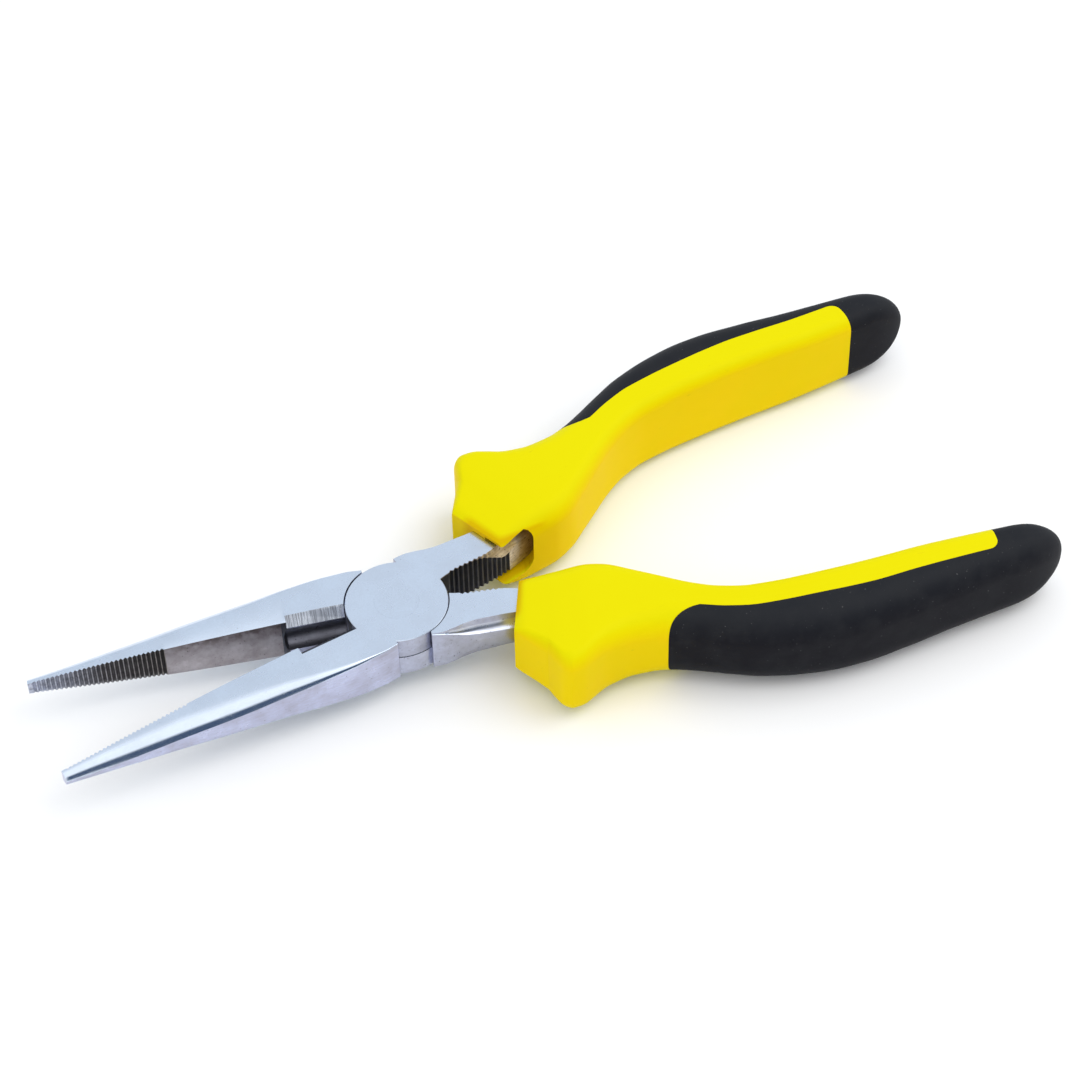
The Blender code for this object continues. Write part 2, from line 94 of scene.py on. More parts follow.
# distance: half thickness, width, width of the top round, height of the top round, height of the lower one
JAW = [
    (71.4, 1.40, 2.0, 1.7, 1.3, 1.0),
    (66.0, 1.95, 2.8, 2.4, 1.8, 1.4),
    (58.0, 2.75, 4.0, 3.2, 2.1, 2.0),
    (48.0, 3.58, 5.4, 3.6, 2.2, 2.5),
    (38.0, 4.20, 6.9, 3.4, 2.1, 2.6),
    (28.0, 4.62, 8.1, 2.6, 1.7, 2.2),
    (20.0, 4.82, 9.1, 1.5, 1.1, 1.4),
    (12.0, 4.90, 9.7, 0.6, 0.5, 0.5),
    (8.0, 4.90, 9.7, 0.2, 0.2, 0.2),
    (5.0, 4.90, 9.35, 0.1, 0.1, 0.1),
]
ROUND_STEPS = 12
RIDGE_DEG = 155.0           # where the top round's arc stops, at the ridge along the side

# Side cutter next to the joint
CUTTER_FAR = 21.5
CUTTER_BEVEL = 1.95
CUTTER_RUN = 3.0            # how far the bevel's tool reaches past the cutting edge
CUTTER_MARGIN = 0.1
HOLLOW_FAR = 22.2
HOLLOW_R = 3.2
HOLLOW_Z = -0.4
HOLLOW_SIDES = 72
NEAR_END = -DISC_R + 2.0    # where both cuts end, inside the room for the disc

# Tang: x, inner edge on top, inner edge at mid-height, half thickness, outer edge of the flat top,
# outer side, half height of the outer side
TANG = [
    (4.8, 0.3, 0.3, 4.9, 9.6, 9.8, 4.7),
    (6.5, 0.3, 0.3, 4.9, 9.7, 10.0, 4.5),
    (9.0, 0.3, 0.3, 4.9, 9.2, 9.8, 3.6),
    (11.5, 0.8, 0.8, 4.85, 8.5, 9.6, 2.6),
    (14.0, 1.1, 1.1, 4.8, 8.1, 9.5, 2.1),
    (17.0, 1.2, 1.15, 4.7, 8.0, 9.5, 1.9),
    (20.0, 1.4, 1.2, 4.55, 7.9, 9.5, 1.8),
    (23.0, 2.15, 1.35, 4.4, 7.9, 9.6, 1.7),
    (26.0, 3.1, 1.8, 4.3, 8.4, 10.1, 1.65),
    (29.0, 4.0, 2.5, 4.2, 9.0, 10.6, 1.6),
    (36.0, 6.8, 5.0, 4.0, 11.8, 13.2, 1.6),
    (45.0, 11.0, 9.8, 3.8, 15.6, 16.8, 1.6),
    (55.0, 15.6, 14.6, 3.7, 19.8, 20.8, 1.6),
    (66.0, 18.6, 17.8, 3.6, 22.4, 23.4, 1.6),
    (80.0, 19.4, 18.6, 3.5, 22.8, 23.8, 1.6),
    (94.0, 18.2, 17.4, 3.4, 21.2, 22.2, 1.5),
    (104.0, 17.2, 16.4, 3.2, 19.8, 20.6, 1.5),
]
# Height of the chamfer along the tang's upper inner edge, by x
TANG_CHAMFER = [(17.0, 0.35), (19.0, 0.5), (22.0, 1.7), (25.0, 3.3), (27.0, 2.6), (29.0, 2.0), (36.0, 1.8)]
TOOTHLESS_CHAMFER = 1.7     # height of the chamfer that leaves the top edge free of teeth
SHOULDER_RISE = 0.12
LOW_CHAMFER = 0.35
SCOOP_STEPS = 6
PIPE_TEETH_START = 12.0
PIPE_TEETH_COUNT = 13
PIPE_TOOTH_PITCH = 1.09
PIPE_TOOTH_DEPTH = 0.4
PIPE_TEETH_END = PIPE_TEETH_START + PIPE_TEETH_COUNT * PIPE_TOOTH_PITCH
PIPE_FLAT_START = 10.2      # where the dark finish of the pipe teeth starts

# Grip collar: plan outline of its outer side, from the front corner along a flat facet and round the guard
FACET = [(20.0, 13.3), (25.0, 19.9)]
GUARD = [(25.0, 19.9), (25.9, 22.3), (26.9, 24.2), (28.6, 25.3), (30.6, 25.0), (33.0, 23.7), (36.0, 22.0),
         (40.0, 20.9)]
FACET_SHARE = 0.3           # share of the collar's sections that end on the facet
COLLAR_FRONT_X = 24.0       # front and back of the collar on its inner side
COLLAR_BACK_X = 40.0
# share of the way from the front edge to the waist: half height, inner rounds above and below, outer round
COLLAR = [(0.0, 5.6, 2.0, 0.5, 0.5), (0.03, 6.1, 2.6, 0.7, 0.9), (0.08, 6.6, 3.2, 0.9, 1.5),
          (0.2, 7.1, 3.8, 1.1, 2.2), (0.35, 7.6, 4.2, 1.6, 2.6), (0.5, 8.0, 4.4, 2.3, 3.0),
          (0.75, 8.5, 4.4, 3.5, 3.6), (1.0, 8.6, 4.2, 4.2, 4.2)]

# Grip: plan outlines, half thickness and rounding by x
DOME_START = 117.0
GRIP_END = 129.0
DOME_PLAN_POWER = 2.8       # how square the dome is in plan and in height
DOME_HEIGHT_POWER = 2.6
END_Y = 14.9
INNER_Y = [(18, 0.35), (24, 0.4), (30, 0.45), (36, 0.55), (40, 1.5), (45, 4.5), (50, 7.7), (55, 10.8),
           (60, 13.1), (66, 14.6), (74, 15.0), (82, 14.8), (92, 14.2), (104, 13.1), (117, 12.4), (129, 12.0)]
OUTER_Y = [(38, 21.3), (42, 20.7), (46, 20.8), (50, 21.6), (54, 23.0), (60, 25.4), (66, 27.4), (74, 28.7),
           (80, 29.0), (86, 28.6), (95, 26.9), (104, 24.9), (112, 23.2), (117, 22.2), (129, 19.8)]
HALF_Z = [(40, 8.6), (50, 8.8), (58, 8.9), (66, 9.1), (80, 9.4), (95, 9.4), (105, 9.1), (112, 9.0),
          (117, 8.9)]
INNER_ROUND = [(40, 4.2), (46, 3.8), (55, 3.4), (66, 3.0), (100, 2.8), (117, 3.2)]
OUTER_ROUND = [(40, 4.2), (50, 5.0), (66, 5.6), (90, 5.6), (117, 4.8)]

# Opening in the collar over the tang's inner side: its end, its rounding by distance before the end,
# and its upper edge by x
WINDOW_END = 30.6
WINDOW_STEPS = [(16.0, 0.0), (6.6, 0.0), (4.0, 0.0), (2.2, 0.0), (1.2, 0.4), (0.4, 1.2), (0.0, 2.2)]
WINDOW_TOP = [(14.0, 5.0), (24.0, 5.0), (28.6, 6.4), (40.0, 6.4)]
WINDOW_LOW = 4.3
WINDOW_DEPTH = 5.0
WINDOW_RAMP = 1.7           # drop of the lower edge from the tang to the lip
RAMP_LENGTH = 6.6
WINDOW_SLANT = 0.6          # how far the end slants back with depth
LIP_DROP = 0.01             # drop beyond the lip, so that no face of the opening is flat

# Seam between hard and soft material, in plan
SEAM = [(55.0, 18.3), (60.0, 20.0), (66.0, 21.2), (74.0, 21.5), (81.0, 21.5), (88.0, 21.3), (97.0, 20.3),
        (104.0, 19.5), (112.4, 18.8)]
SEAM_FRONT = 48.0           # where the seam crosses the palm side
SEAM_BACK = 114.6           # where the seam crosses the inner side
SOFT_THICKNESS = 2.0
PART_GAP = 0.06             # grip to tang and to soft panel

# Places safely beyond the part, for the shapes that cut it
OUTSIDE = 8.0
BEYOND_X = 140.0
BEYOND_Y = 40.0
BEYOND_Z = 20.0


# ---------------------------------------------------------------- curves

def track(rows, x, column=1):
    """Value of one column of a table at x, on a smooth curve through its rows."""
    rows = sorted(rows)
    if x <= rows[0][0]:
        return rows[0][column]
    if x >= rows[-1][0]:
        return rows[-1][column]
    slopes = []
    for left, right in zip(rows, rows[1:]):
        slopes.append((right[column] - left[column]) / (right[0] - left[0]))
    tangents = [slopes[0]]
    for before, after in zip(slopes, slopes[1:]):
        tangents.append(0.0 if before * after <= 0 else 2 * before * after / (before + after))
    tangents.append(slopes[-1])
    for i, (left, right) in enumerate(zip(rows, rows[1:])):
        if x <= right[0]:
            span = right[0] - left[0]
            u = (x - left[0]) / span
            a = left[column] * (2 * u ** 3 - 3 * u ** 2 + 1)
            b = right[column] * (-2 * u ** 3 + 3 * u ** 2)
            c = tangents[i] * span * (u ** 3 - 2 * u ** 2 + u)
            d = tangents[i + 1] * span * (u ** 3 - u ** 2)
            return a + b + c + d


def along(points, share):
    """Point of a smooth plan curve through the points, at a share of its length."""
    lengths = [0.0]
    for (x0, y0), (x1, y1) in zip(points, points[1:]):
        lengths.append(lengths[-1] + math.hypot(x1 - x0, y1 - y0))
    rows = [(length, x, y) for length, (x, y) in zip(lengths, points)]
    return track(rows, share * lengths[-1], 1), track(rows, share * lengths[-1], 2)


def arc(center_y, center_z, radius_y, radius_z, start_deg, end_deg, steps):
    """Points of an elliptical arc in the YZ plane."""
    points = []
    for i in range(steps + 1):
        angle = math.radians(start_deg + (end_deg - start_deg) * i / steps)
        points.append((center_y + radius_y * math.cos(angle), center_z + radius_z * math.sin(angle)))
    return points


def spread(start, end, step):
    """Even stations from start to end, no further apart than step."""
    count = max(1, math.ceil(abs(end - start) / step))
    return [start + (end - start) * i / count for i in range(count + 1)]


# ---------------------------------------------------------------- meshes

def new_object(name, bm):
    """Object from a bmesh drawn in millimetres."""
    bmesh.ops.transform(bm, matrix=Matrix.Scale(MM, 4), verts=bm.verts)
    bmesh.ops.recalc_face_normals(bm, faces=bm.faces)
    mesh = bpy.data.meshes.new(name)
    bm.to_mesh(mesh)
    bm.free()
    obj = bpy.data.objects.new(name, mesh)
    bpy.context.scene.collection.objects.link(obj)
    return obj


def skin(rings):
    """Closed solid through rings of (x, y, z) points."""
    bm = bmesh.new()
    made = [[bm.verts.new(point) for point in ring] for ring in rings]
    for first, second in zip(made, made[1:]):
        for i in range(len(first)):
            j = (i + 1) % len(first)
            bm.faces.new((first[i], first[j], second[j], second[i]))
    for end in (made[0], made[-1]):
        bm.faces.new(end)
    return bm


def loft(stations, mirror):
    """Closed solid through rings of (y, z) points at stations (x, ring)."""
    return skin([[(x, y * mirror, z) for y, z in ring] for x, ring in stations])


def prism(outline, low, high, mirror):
    """Closed solid of a plan outline between two heights."""
    return skin([[(x, y * mirror, z) for x, y in outline] for z in (low, high)])


def turned(profile, sides):
    """Closed solid turned about the Z axis from (radius, z) points, the first and last on the axis."""
    rings = []
    angles = [2 * math.pi * i / sides for i in range(sides)]
    for radius, z in profile[1:-1]:
        rings.append([(radius * math.cos(a), radius * math.sin(a), z) for a in angles])
    return skin(rings)


def combine(obj, other, operation):
    """Apply one exact boolean and delete the other object."""
    modifier = obj.modifiers.new(operation.title(), "BOOLEAN")
    modifier.operation = operation
    modifier.solver = "EXACT"
    modifier.object = other
    graph = bpy.context.evaluated_depsgraph_get()
    result = bpy.data.meshes.new_from_object(obj.evaluated_get(graph))
    obj.modifiers.clear()
    old_mesh = obj.data
    obj.data = result
    bpy.data.meshes.remove(old_mesh)
    bpy.data.objects.remove(other)


def clean(obj, sharp_deg, bevel=0.0):
    """Weld what the booleans left double, break the sharp edges and shade the round faces smooth."""
    bm = bmesh.new()
    bm.from_mesh(obj.data)
    bmesh.ops.remove_doubles(bm, verts=bm.verts, dist=WELD * MM)
    bmesh.ops.dissolve_degenerate(bm, dist=WELD / 2 * MM, edges=bm.edges)
    bm.to_mesh(obj.data)
    bm.free()
    if bevel:
        modifier = obj.modifiers.new("Bevel", "BEVEL")
        modifier.width = bevel * MM
        modifier.segments = 2
        modifier.limit_method = "ANGLE"
        modifier.angle_limit = math.radians(50)
        graph = bpy.context.evaluated_depsgraph_get()
        result = bpy.data.meshes.new_from_object(obj.evaluated_get(graph))
        obj.modifiers.clear()
        obj.data = result
    obj.data.shade_smooth()
    obj.data.set_sharp_from_angle(angle=math.radians(sharp_deg))


def place(obj, name, mirror, body, node):
    """Open the half to its rest angle, tie the piece to its body and hide its CAD node.

    The materials read where each point was drawn from the mesh's own "drawn" attribute.
    """
    obj.name = name
    obj.data.name = name
    drawn = obj.data.attributes.new("drawn", "FLOAT_VECTOR", "POINT")
    for vertex, item in zip(obj.data.vertices, drawn.data):
        item.vector = vertex.co
    obj.data.transform(Matrix.Translation(PIVOT) @ Matrix.Rotation(HALF_OPENING * mirror, 4, "Z"))
    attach(obj, body)
    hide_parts(node)


# ---------------------------------------------------------------- forged halves

def jaw_ring(distance, bite):
    """Section of the jaw: flat inner face, flat top, round down to a ridge, upright side, round below."""
    half, width, round_w, round_top, round_low = (track(JAW, distance, c) for c in range(1, 6))
    inner = -MATE_GAP - bite
    ring = [(inner, -half), (inner, half)]
    ridge = math.radians(RIDGE_DEG)
    radius_y, radius_z = -round_w / math.cos(ridge), round_top / (1 - math.sin(ridge))
    ring += arc(-(width - round_w), half - radius_z, radius_y, radius_z, 90, RIDGE_DEG, ROUND_STEPS)
    ring += arc(-(width - round_w), -(half - round_low), round_w, round_low, 180, 270, ROUND_STEPS)
    return ring


def jaw(mirror):
    """Long jaw with the gripping teeth cut across its inner face."""
    stations = [(-d, jaw_ring(d, 0.0)) for d in spread(JAW_SHOULDER, TEETH_START, 1.25)]
    teeth = int((TIP - TIP_PLAIN - TEETH_START) / TOOTH_PITCH)
    for i in range(teeth):
        for share, depth in ((0.15, 0.0), (0.5, TOOTH_DEPTH), (0.62, TOOTH_DEPTH), (1.0, 0.0)):
            distance = TEETH_START + (i + share) * TOOTH_PITCH
            stations.append((-distance, jaw_ring(distance, depth)))
    stations.append((-TIP, jaw_ring(TIP, 0.0)))
    return new_object("jaw", loft(stations, mirror))


def tang_ring(x, grow, bite):
    """Section of the tang: flat top and underside, scooped outer corners and a narrow outer side."""
    inner_top, inner_mid, half, flat, side, side_half = (track(TANG, x, c) for c in range(1, 7))
    chamfer = track(TANG_CHAMFER, x)
    edge_bite = bite * max(0.0, 1 - chamfer / TOOTHLESS_CHAMFER)
    inner = inner_mid - grow
    ring = [
        (inner + bite, 0.0),
        (inner + bite, half - chamfer),
        (inner + edge_bite, half - chamfer + SHOULDER_RISE),
        (inner_top - grow * 0.7 + edge_bite, half + grow),
    ]
    outer = []
    for i in range(SCOOP_STEPS + 1):
        angle = math.radians(90 * i / SCOOP_STEPS)
        y = flat + (side - flat) * (1 - math.cos(angle)) + grow * math.sin(angle)
        z = side_half + (half - side_half) * (1 - math.sin(angle)) + grow * math.cos(angle)
        outer.append((y, z))
    ring += outer + [(y, -z) for y, z in reversed(outer)]
    return ring + [(inner + LOW_CHAMFER + bite, -half - grow), (inner + bite, LOW_CHAMFER - half)]


def tang(mirror, grow=0.0):
    """Tang from the joint's shoulder to its end inside the grip."""
    stations = [(x, tang_ring(x, grow, 0.0)) for x in spread(TANG[0][0], PIPE_TEETH_START, 0.7)]
    if not grow:
        for i in range(PIPE_TEETH_COUNT):
            for share, depth in ((0.15, 0.0), (0.5, PIPE_TOOTH_DEPTH), (0.65, PIPE_TOOTH_DEPTH), (1.0, 0.0)):
                x = PIPE_TEETH_START + (i + share) * PIPE_TOOTH_PITCH
                stations.append((x, tang_ring(x, grow, depth)))
    for x in spread(stations[-1][0] + 0.6, TANG[-1][0] + grow, 1.2):
        stations.append((x, tang_ring(x, grow, 0.0)))
    return new_object("tang", loft(stations, mirror))


def half_disc(lap):
    """The half-thick disc: the upper half's lies on top."""
    profile = [(0, SEAM_HALF), (DISC_R, SEAM_HALF), (DISC_R, JOINT_HALF - DISC_EDGE),
               (DISC_R - DISC_EDGE, JOINT_HALF), (0, JOINT_HALF)]
    return new_object("disc", turned([(r, z * lap) for r, z in profile], DISC_SIDES))


def disc_clearance(lap):
    """Room for the other half's disc."""
    radius = DISC_R + RUN_GAP
    profile = [(0, -SEAM_HALF), (radius, -SEAM_HALF), (radius, JOINT_HALF + 1), (0, JOINT_HALF + 1)]
    return new_object("clearance", turned([(r, -z * lap) for r, z in profile], DISC_SIDES))


def rivet_profile(gap):
    """Shank with a countersunk head at each end, flush with the joint's faces."""
    shank, head = RIVET_R + gap, RIVET_HEAD_R + gap
    neck = JOINT_HALF - RIVET_HEAD_H
    upper = [(shank, neck), (head, JOINT_HALF)]
    top = JOINT_HALF
    if gap:
        top += 1.0
        upper.append((head, top))
    return [(0, -top)] + [(r, -z) for r, z in reversed(upper)] + upper + [(0, top)]


def cutter_bevel(mirror):
    """Bevel from the top face down to the cutting edge."""
    back = -CUTTER_BEVEL - CUTTER_MARGIN
    start = JOINT_HALF + 0.15
    end = JOINT_HALF - CUTTER_BEVEL - CUTTER_RUN - CUTTER_MARGIN
    above = JOINT_HALF + 4.0
    outline = [(back, start), (CUTTER_RUN, end), (CUTTER_RUN, above), (back, above)]
    stations = [(-CUTTER_FAR, outline), (NEAR_END, outline)]
    return new_object("bevel", loft(stations, mirror))


def cutter_hollow(mirror):
    """Round hollow behind the cutting edge, with a domed far end."""
    last_deg = 360 - 360 / HOLLOW_SIDES
    stations = []
    for angle in (5, 15, 25, 35, 45, 55, 65, 75, 90):
        radius = HOLLOW_R * math.sin(math.radians(angle))
        x = -HOLLOW_FAR + 1.0 - math.cos(math.radians(angle))
        stations.append((x, arc(0.0, HOLLOW_Z, radius, radius, 0, last_deg, HOLLOW_SIDES - 1)))
    stations.append((NEAR_END, arc(0.0, HOLLOW_Z, HOLLOW_R, HOLLOW_R, 0, last_deg, HOLLOW_SIDES - 1)))
    return new_object("hollow", loft(stations, mirror))


def tooth_share(distance, start, pitch):
    """How far through its pitch a place on a toothed face is, from 0 to 1."""
    return (distance - start) / pitch % 1


def steel_region(center, normal):
    """Finish of a face of a forging, from its middle and its normal in the half's own frame."""
    x, y, z = center
    level = abs(normal.z)
    crest_low, crest_high = 0.2, 0.93
    if -HOLLOW_FAR - 0.2 < x < NEAR_END + 0.2 and math.hypot(y, z - HOLLOW_Z) < HOLLOW_R + 0.02:
        return "hollow"
    if x < 0 and normal.y > 0.5 and normal.z > 0.5 and z > 1.0:
        return "cutter"
    if x < -TEETH_START and y > -MATE_GAP - TOOTH_DEPTH - 0.05 and level < 0.5:
        share = tooth_share(-x, TEETH_START, TOOTH_PITCH)
        return "crests" if share < crest_low or share > crest_high else "teeth"
    if x < -CUTTER_FAR + 0.2 and normal.y > 0.8:
        return "inner"
    below_chamfer = z < track(TANG, x, 3) - track(TANG_CHAMFER, x) + 0.1
    on_inner_face = normal.y < 0.3 and y < 3.5 and level < 0.8
    if PIPE_FLAT_START < x < PIPE_TEETH_END and on_inner_face and below_chamfer:
        share = tooth_share(x, PIPE_TEETH_START, PIPE_TOOTH_PITCH)
        worn = x > PIPE_TEETH_START and (share < crest_low or share > crest_high)
        return "pipe_crests" if worn else "pipe"
    if x > WINDOW_END + 1.5 or x > PIPE_FLAT_START and y < 6 and level < 0.985 and normal.y < 0.3:
        return "brown"
    if x < 0 and normal.y < -0.2 and 0.3 < level < 0.99:
        return "round"
    if x > 8 and 0.25 < level < 0.985:
        return "scoop"
    if level < 0.5:
        return "side" if x < 0 and math.hypot(x, y) > DISC_R + 0.05 else "forged"
    return "flat"


# ---------------------------------------------------------------- grips

def section(inner, outer, half, inner_round, low_round, outer_round, inset):
    """Rounded upright section between two plan points, pulled in by the inset."""
    length = math.hypot(outer[0] - inner[0], outer[1] - inner[1])
    start, end, half = inset, length - inset, half - inset
    inner_w = min(inner_round, (end - start) * 0.45)
    low_w = min(low_round, (end - start) * 0.45)
    outer_w = min(outer_round, (end - start) * 0.5)
    inner_z = min(inner_round, half * 0.9)
    low_z = min(low_round, half * 0.9)
    outer_z = min(outer_round * 1.15, half * 0.9)
    profile = arc(end - outer_w, half - outer_z, outer_w, outer_z, 0, 90, 12)
    profile += across(end - outer_w, start + inner_w, half)
    profile += arc(start + inner_w, half - inner_z, inner_w, inner_z, 90, 180, 10)
    profile += arc(start + low_w, -half + low_z, low_w, low_z, 180, 270, 10)
    profile += across(start + inner_w, end - outer_w, -half)
    profile += arc(end - outer_w, -half + outer_z, outer_w, outer_z, 270, 360, 12)
    ring = []
    for w, z in profile:
        share = w / length
        ring.append((inner[0] + (outer[0] - inner[0]) * share, inner[1] + (outer[1] - inner[1]) * share, z))
    return ring


def across(start, end, z):
    """Points between two places on the flat of a section."""
    steps = 6
    return [(start + (end - start) * i / steps, z) for i in range(1, steps)]


def collar_ring(share, inset):
    """Section of the collar: its planes fan from the slanted front edge to the waist."""
    x = COLLAR_FRONT_X + (COLLAR_BACK_X - COLLAR_FRONT_X) * share
    inner = (x, track(INNER_Y, x))
    if share < FACET_SHARE:
        outer = along(FACET, share / FACET_SHARE)
    else:
        outer = along(GUARD, (share - FACET_SHARE) / (1 - FACET_SHARE))
    half, inner_round, low_round, outer_round = (track(COLLAR, share, c) for c in (1, 2, 3, 4))
    return section(inner, outer, half, inner_round, low_round, outer_round, inset)


def handle_ring(x, inset):
    """Section of the handle at x, shrinking over the domed end."""
    inner, outer = track(INNER_Y, x), track(OUTER_Y, x)
    half = track(HALF_Z, x)
    if x > DOME_START:
        u = (x - DOME_START) / (GRIP_END - DOME_START)
        shrink = (1 - u ** DOME_PLAN_POWER) ** 0.5
        inner = END_Y + (inner - END_Y) * shrink
        outer = END_Y + (outer - END_Y) * shrink
        half *= (1 - u ** DOME_HEIGHT_POWER) ** 0.5
    inner_round = track(INNER_ROUND, x)
    return section((x, inner), (x, outer), half, inner_round, inner_round, track(OUTER_ROUND, x), inset)


def grip_body(mirror, inset=0.0):
    """Whole outer shape of one grip."""
    shares = [0.0, 0.008, 0.02, 0.035, 0.055] + spread(0.08, FACET_SHARE - 0.012, 0.03)
    shares += spread(FACET_SHARE, 0.98, 0.02)
    rings = [collar_ring(share, inset) for share in shares]
    xs = spread(COLLAR_BACK_X, DOME_START, 1.2)
    reach = GRIP_END - DOME_START
    last_angle = 60 if inset else 88
    xs += [DOME_START + reach * math.sin(math.radians(a)) for a in spread(5, last_angle, 5)]
    rings += [handle_ring(x, inset) for x in xs]
    return new_object("grip", skin([[(x, y * mirror, z) for x, y, z in ring] for ring in rings]))


def seam_outline(gap):
    """Plan region of the soft panel, grown by the gap: nose, seam along the top, rounded corner, end cap."""
    nose_x, nose_y = SEAM[0]
    start_y = track(OUTER_Y, SEAM_FRONT) + 1.0
    points = [(SEAM_FRONT - gap, BEYOND_Y)]
    for angle in range(0, 90, 5):
        cos, sin = math.cos(math.radians(angle)), math.sin(math.radians(angle))
        x = nose_x - (nose_x - SEAM_FRONT) * cos
        y = start_y - (start_y - nose_y) * sin
        points.append((x - gap * cos, y - gap * sin))
    points += [(x, track(SEAM, x) - gap) for x in spread(nose_x, SEAM[-1][0], 1.5)]
    end_x, end_y = SEAM[-1]
    corner = SEAM_BACK - end_x
    for angle in range(80, -1, -10):
        cos, sin = math.cos(math.radians(angle)), math.sin(math.radians(angle))
        points.append((end_x + (corner - gap) * cos, end_y - corner + (corner - gap) * sin))
    return points + [(SEAM_BACK - gap, 0.0), (BEYOND_X, 0.0), (BEYOND_X, BEYOND_Y)]


def collar_window(mirror):
    """Opening over the tang's inner side: it slants back at its end and ramps down at its lip."""
    rings = []
    for before_end, shrink in WINDOW_STEPS:
        x = WINDOW_END - before_end
        top, low = track(WINDOW_TOP, x) - shrink, shrink - WINDOW_LOW
        lip = low - WINDOW_RAMP * min(1.0, before_end / RAMP_LENGTH)
        outline = [(-OUTSIDE, lip - LIP_DROP), (0.0, lip), (WINDOW_DEPTH, low), (WINDOW_DEPTH, top),
                   (-OUTSIDE, top)]
        rings.append([(x + WINDOW_SLANT * y, y * mirror, z) for y, z in outline])
    return new_object("window", skin(rings))


def soft_panel(mirror):
    """Black overmould: a shell on the palm side and over the end."""
    panel = grip_body(mirror)
    region = prism(seam_outline(0.0), -BEYOND_Z, BEYOND_Z, mirror)
    combine(panel, new_object("region", region), "INTERSECT")
    combine(panel, grip_body(mirror, SOFT_THICKNESS), "DIFFERENCE")
    clean(panel, 30)
    return panel


def hard_grip(mirror):
    """Yellow grip body, cut off under the soft panel, with a pocket for the tang and the collar's opening."""
    grip = grip_body(mirror)
    region = prism(seam_outline(PART_GAP), -BEYOND_Z, BEYOND_Z, mirror)
    combine(grip, new_object("region", region), "DIFFERENCE")
    combine(grip, tang(mirror, PART_GAP), "DIFFERENCE")
    combine(grip, collar_window(mirror), "DIFFERENCE")
    clean(grip, 15)
    return grip


def forging(mirror, lap):
    """One forged half: jaw, half-disc and tang."""
    half = jaw(mirror)
    combine(half, cutter_bevel(mirror), "DIFFERENCE")
    combine(half, cutter_hollow(mirror), "DIFFERENCE")
    combine(half, tang(mirror), "UNION")
    combine(half, disc_clearance(lap), "DIFFERENCE")
    combine(half, half_disc(lap), "UNION")
    combine(half, new_object("rivet_hole", turned(rivet_profile(RIVET_GAP), RIVET_SIDES)), "DIFFERENCE")
    clean(half, 28, EDGE_BREAK)
    return half


def finish_forging(half, mirror, steels):
    """Give each face of a forging the finish of its region."""
    names = list(steels)
    for name in names:
        half.data.materials.append(steels[name])
    for face in half.data.polygons:
        center = Vector((face.center.x, face.center.y * mirror, face.center.z)) / MM
        normal = Vector((face.normal.x, face.normal.y * mirror, face.normal.z))
        region = steel_region(center, normal)
        face.material_index = names.index(region)
        flat_end = region == "flat" and (center.x > -12 or center.x < -TEETH_START)
        if flat_end or region == "side":
            face.use_smooth = False


# ---------------------------------------------------------------- materials

def new_material(name):
    """Empty node material with its shader."""
    material = bpy.data.materials.new(name)
    material.use_nodes = True
    return material, material.node_tree, material.node_tree.nodes["Principled BSDF"]


def add(tree, kind, settings=None, **inputs):
    """Node with its settings and its inputs, which are values or other nodes' outputs."""
    made = tree.nodes.new(kind)
    for key, value in (settings or {}).items():
        setattr(made, key, value)
    for key, value in inputs.items():
        socket = made.inputs[int(key[1:])] if key[1:].isdigit() else made.inputs[key.replace("_", " ")]
        if isinstance(value, bpy.types.NodeSocket):
            tree.links.new(value, socket)
        else:
            socket.default_value = value
    return made


def drawn(tree):
    """Where a point was drawn, in the half's own frame, in metres."""
    return add(tree, "ShaderNodeAttribute", {"attribute_name": "drawn"}).outputs["Vector"]


def millimetres(tree, stretch=(1, 1, 1)):
    """The same in millimetres, stretched."""
    scale = [s / MM for s in stretch]
    return add(tree, "ShaderNodeMapping", Vector=drawn(tree), Scale=scale).outputs[0]


def noise(tree, where, scale, detail=3.0, rough=0.55):
    """Noise from 0 to 1."""
    made = add(tree, "ShaderNodeTexNoise", Vector=where, Scale=scale, Detail=detail, Roughness=rough)
    return made.outputs["Fac"]


def ramp(tree, value, stops):
    """Colour along a ramp of (position, colour) stops."""
    made = add(tree, "ShaderNodeValToRGB", Fac=value)
    elements = made.color_ramp.elements
    while len(elements) < len(stops):
        elements.new(0.5)
    for element, (position, color) in zip(elements, stops):
        element.position = position
        element.color = (*color, 1) if len(color) == 3 else color
    return made.outputs["Color"]


def levels(tree, value, low, high, to_low=0.0, to_high=1.0):
    """Value mapped from one range to another and held inside it."""
    made = add(tree, "ShaderNodeMapRange", Value=value, From_Min=low, From_Max=high, To_Min=to_low,
               To_Max=to_high)
    return made.outputs[0]


def math_node(tree, operation, first, second=0.0):
    """Result of one arithmetic operation."""
    return add(tree, "ShaderNodeMath", {"operation": operation}, _0=first, _1=second).outputs[0]


def blend_colors(tree, share, first, second):
    """Mix of two colours."""
    made = add(tree, "ShaderNodeMix", {"data_type": "RGBA"}, _0=share)
    for socket, value in ((made.inputs[6], first), (made.inputs[7], second)):
        if isinstance(value, bpy.types.NodeSocket):
            tree.links.new(value, socket)
        else:
            socket.default_value = (*value, 1)
    return made.outputs[2]


def bump(tree, shader, height, strength, distance):
    """Bump in millimetres on a shader."""
    made = add(tree, "ShaderNodeBump", Height=height, Strength=strength, Distance=distance * MM)
    tree.links.new(made.outputs[0], shader.inputs["Normal"])


# Colours of the ground faces, and how much finer the grain is along X, Y and Z
GROUND_TINT = (0.68, 0.77, 0.90)
GROUND_DARK = (0.54, 0.60, 0.70)
FINE = (1, 1, 1)
CROSS_GROUND = (2.6, 0.12, 0.12)
LENGTHWISE = (0.22, 2.0, 2.0)


